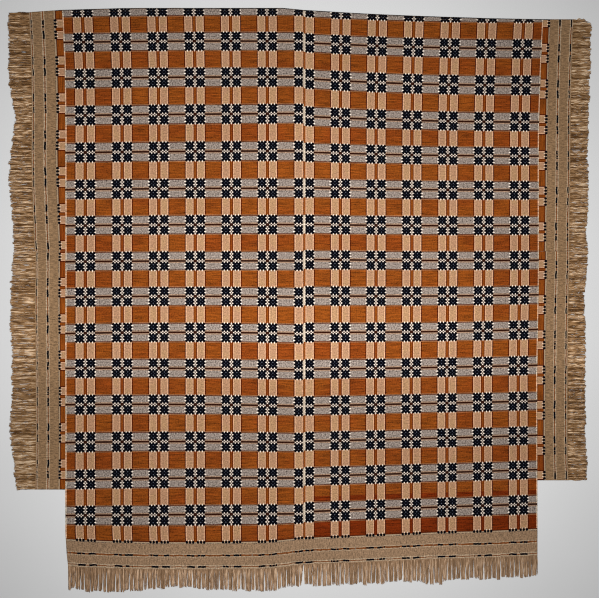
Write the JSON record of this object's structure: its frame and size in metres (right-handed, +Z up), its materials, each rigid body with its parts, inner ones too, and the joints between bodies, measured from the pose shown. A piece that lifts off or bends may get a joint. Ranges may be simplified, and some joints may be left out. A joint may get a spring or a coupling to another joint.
{
  "type": "woven coverlet",
  "caption": "Woven double-cloth bed coverlet of sewn loom-width panels, with fringed side bands, open lower corners and a fringed foot, lying flat face up.",
  "frame": {"origin": "middle of the whole coverlet's box, on the surface that it lies on", "axes": "+Z up from the surface, out of the face; +Y from the fringed foot to the hemmed head; +X to the right as seen from above"},
  "size_m": [2.2126, 2.2124, 0.0065],
  "materials": {
    "panel_cloth": "wool and cotton double cloth in rust orange, indigo, tan and bluish grey blocks, matt",
    "band_cloth": "plain tan cotton woven end with thin dark and rust lines, matt",
    "fringe_yarn": "unbleached tan cotton warp ends, matt"
  },
  "bodies": {
    "root": {"panel_left": "panel_cloth", "panel_right": "panel_cloth", "band_left_upper": "band_cloth", "band_left_lower": "band_cloth", "band_right_upper": "band_cloth", "band_right_lower": "band_cloth", "fringe_left_upper": "fringe_yarn", "fringe_left_lower": "fringe_yarn", "fringe_right_upper": "fringe_yarn", "fringe_right_lower": "fringe_yarn", "fringe_foot_left": "fringe_yarn", "fringe_foot_right": "fringe_yarn"}
  },
  "joints": []
}
